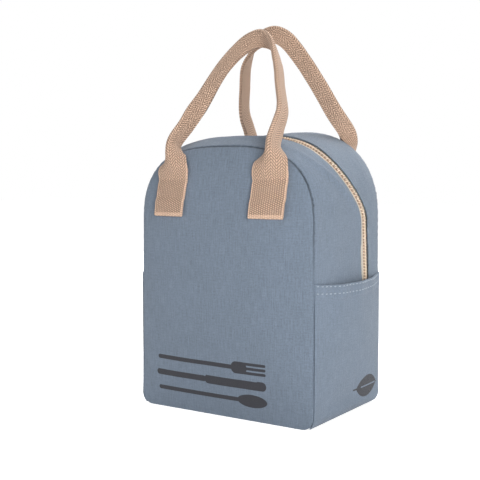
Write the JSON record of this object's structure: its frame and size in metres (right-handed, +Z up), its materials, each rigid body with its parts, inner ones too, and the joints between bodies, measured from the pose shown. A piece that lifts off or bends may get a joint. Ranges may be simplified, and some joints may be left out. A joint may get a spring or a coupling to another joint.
{
  "type": "soft lunch bag with zip top",
  "caption": "Upright canvas lunch bag with an arched zip top, two webbing carry handles, open side pockets and a lined compartment.",
  "frame": {"origin": "middle of the flat base, at the level the bag stands on", "axes": "+X to the bag's right side panel, +Y from the front panel to the back panel, +Z up"},
  "size_m": [0.2297, 0.1674, 0.3984],
  "materials": {
    "canvas": "matte plain-weave cotton canvas, grey blue",
    "lining": "smooth coated cotton, off-white",
    "binding": "matte woven bias tape, grey blue",
    "webbing": "matte heavy cotton webbing, natural tan",
    "thread": "spun sewing thread, pale grey blue",
    "zip_tape": "woven tape, cream",
    "zip_coil": "satin moulded coil, tan",
    "slider_metal": "satin nickel"
  },
  "bodies": {
    "bag": {"front_panel_lower": "canvas", "back_panel": "canvas", "base_gusset": "canvas", "zip_gusset_back": "canvas", "pocket_left": "canvas", "pocket_right": "canvas", "pocket_thread_left": "thread", "pocket_thread_right": "thread", "zip_tape_back": "zip_tape", "zip_coil_back": "zip_coil", "handle_tabs_back": "webbing", "handle_thread_back": "thread", "lining_front_lower": "lining", "lining_back": "lining", "lining_base": "lining", "lining_gusset_back": "lining", "inner_pocket": "lining", "binding_front_lower": "binding", "binding_back": "binding"},
    "front_flap": {"front_panel_upper": "canvas", "zip_gusset_front": "canvas", "zip_tape_front": "zip_tape", "zip_coil_front": "zip_coil", "handle_tabs_front": "webbing", "handle_thread_front": "thread", "lining_front_upper": "lining", "lining_gusset_front": "lining", "binding_front_upper": "binding"},
    "front_handle": {"handle_front": "webbing"},
    "back_handle": {"handle_back": "webbing"},
    "slider": {"zip_slider": "slider_metal"},
    "pull": {"zip_pull": "slider_metal"}
  },
  "joints": [
    {"name": "mouth_open", "type": "hinge", "parent": "bag", "child": "front_flap", "pos_m": [0, -0.0795, 0.137], "axis": [1, 0, 0], "range_deg": [0, 30]},
    {"name": "front_handle_swing", "type": "hinge", "parent": "front_flap", "child": "front_handle", "pos_m": [0, -0.07867, 0.233], "axis": [1, 0, 0], "range_deg": [0, 165]},
    {"name": "back_handle_swing", "type": "hinge", "parent": "bag", "child": "back_handle", "pos_m": [0, 0.07867, 0.23913], "axis": [-1, 0, 0], "range_deg": [0, 165]},
    {"name": "zip_slide", "type": "slide", "parent": "bag", "child": "slider", "axis": [0, -0.0797, 0.9968], "range_m": [0, 0.032]},
    {"name": "pull_swing", "type": "hinge", "parent": "slider", "child": "pull", "pos_m": [-0.10835, 0.03096, 0.15], "axis": [0, 0.9968, 0.0797], "range_deg": [0, 140]}
  ]
}
